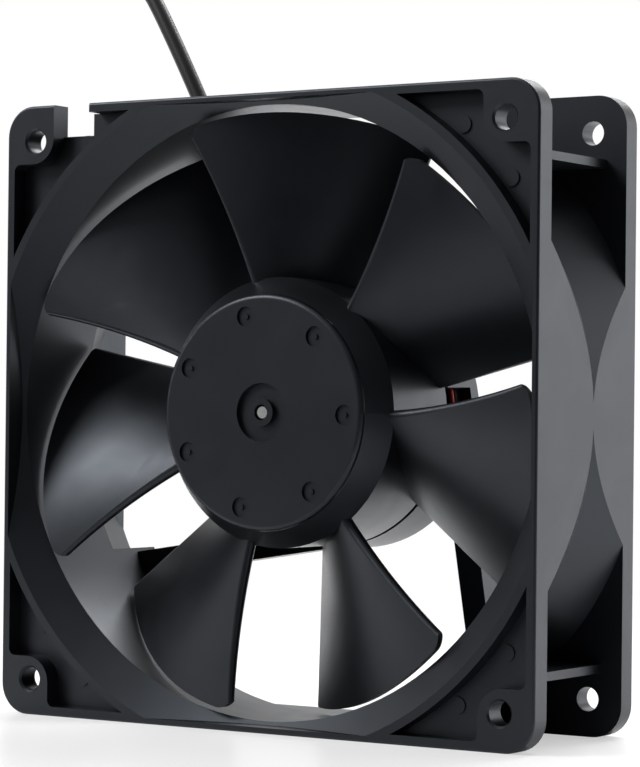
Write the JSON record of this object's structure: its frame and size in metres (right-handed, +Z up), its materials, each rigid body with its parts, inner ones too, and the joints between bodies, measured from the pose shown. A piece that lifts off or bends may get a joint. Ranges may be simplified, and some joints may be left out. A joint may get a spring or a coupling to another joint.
{
  "type": "axial case fan",
  "caption": "Square-framed axial fan with a curved-blade impeller on a ball-bearing outer-rotor motor, slanted struts and a sleeved lead ending in a small connector.",
  "frame": {"origin": "centre of the square frame, on the spin axis, half way through its depth", "axes": "+Y along the spin axis, the way the air is blown; +Z up through the frame's top edge; +X to the right as seen from the intake side"},
  "size_m": [0.182, 0.0514, 0.1598],
  "materials": {
    "frame_plastic": "satin moulded glass-filled plastic, near black",
    "rotor_plastic": "satin moulded glass-filled plastic, near black",
    "label_film": "blank silver-grey printed film, no text",
    "yoke_steel": "pressed, zinc-plated steel",
    "ferrite": "plastic-bonded ferrite, dark grey",
    "brass": "turned brass",
    "bright_steel": "ground steel",
    "bearing_steel": "polished bearing steel",
    "spring_steel": "drawn spring steel",
    "lamination": "stacked silicon-steel laminations",
    "insulator_plastic": "natural moulded nylon",
    "copper_wire": "enamelled copper wire",
    "board": "green solder mask over glass epoxy",
    "chip_plastic": "moulded epoxy",
    "can_metal": "drawn aluminium can",
    "solder": "tin solder",
    "red_insulation": "red lead insulation",
    "black_insulation": "black lead insulation",
    "brown_insulation": "brown lead insulation",
    "grommet_rubber": "black moulded rubber",
    "sleeve": "black extruded sleeve",
    "tie_nylon": "black nylon",
    "connector_plastic": "black nylon connector shell",
    "tinned_contact": "tin-plated contact"
  },
  "bodies": {
    "stator": {"fan_housing": "frame_plastic", "rear_label": "label_film", "bearing_tube": "brass", "front_bearing_outer_ring": "bearing_steel", "front_bearing_shields": "bright_steel", "rear_bearing_outer_ring": "bearing_steel", "rear_bearing_shields": "bright_steel", "preload_spring": "spring_steel", "stator_core": "lamination", "front_insulator": "insulator_plastic", "rear_insulator": "insulator_plastic", "stator_windings": "copper_wire", "terminal_pins": "solder", "circuit_board": "board", "hall_sensor": "chip_plastic", "driver_chip": "chip_plastic", "capacitor": "can_metal", "chip_resistors": "chip_plastic", "solder_joints": "solder", "red_lead": "red_insulation", "black_lead": "black_insulation", "brown_lead": "brown_insulation", "red_tail": "red_insulation", "black_tail": "black_insulation", "brown_tail": "brown_insulation", "lead_grommet": "grommet_rubber", "cable_sleeve": "sleeve", "cable_coil": "sleeve", "shrink_sleeve": "grommet_rubber", "cable_tie": "tie_nylon", "connector_housing": "connector_plastic", "connector_contacts": "tinned_contact"},
    "rotor": {"impeller": "rotor_plastic", "rotor_yoke": "yoke_steel", "ring_magnet": "ferrite", "shaft_bush": "brass", "shaft": "bright_steel", "shaft_washer": "bright_steel", "shaft_clip": "spring_steel", "front_bearing_inner_ring": "bearing_steel", "rear_bearing_inner_ring": "bearing_steel"},
    "front_balls": {"front_bearing_balls": "bearing_steel", "front_bearing_cage": "insulator_plastic"},
    "rear_balls": {"rear_bearing_balls": "bearing_steel", "rear_bearing_cage": "insulator_plastic"}
  },
  "joints": [
    {"name": "rotor_spin", "type": "hinge", "parent": "stator", "child": "rotor", "pos_m": [0, 0, 0], "axis": [0, 1, 0], "continuous": true},
    {"name": "front_balls_roll", "type": "hinge", "parent": "stator", "child": "front_balls", "pos_m": [0, 0, 0], "axis": [0, 1, 0], "continuous": true},
    {"name": "rear_balls_roll", "type": "hinge", "parent": "stator", "child": "rear_balls", "pos_m": [0, 0, 0], "axis": [0, 1, 0], "continuous": true}
  ],
  "couplings": [
    {"joint": "front_balls_roll", "follows": "rotor_spin", "ratio": 0.3556},
    {"joint": "rear_balls_roll", "follows": "rotor_spin", "ratio": 0.3556}
  ]
}
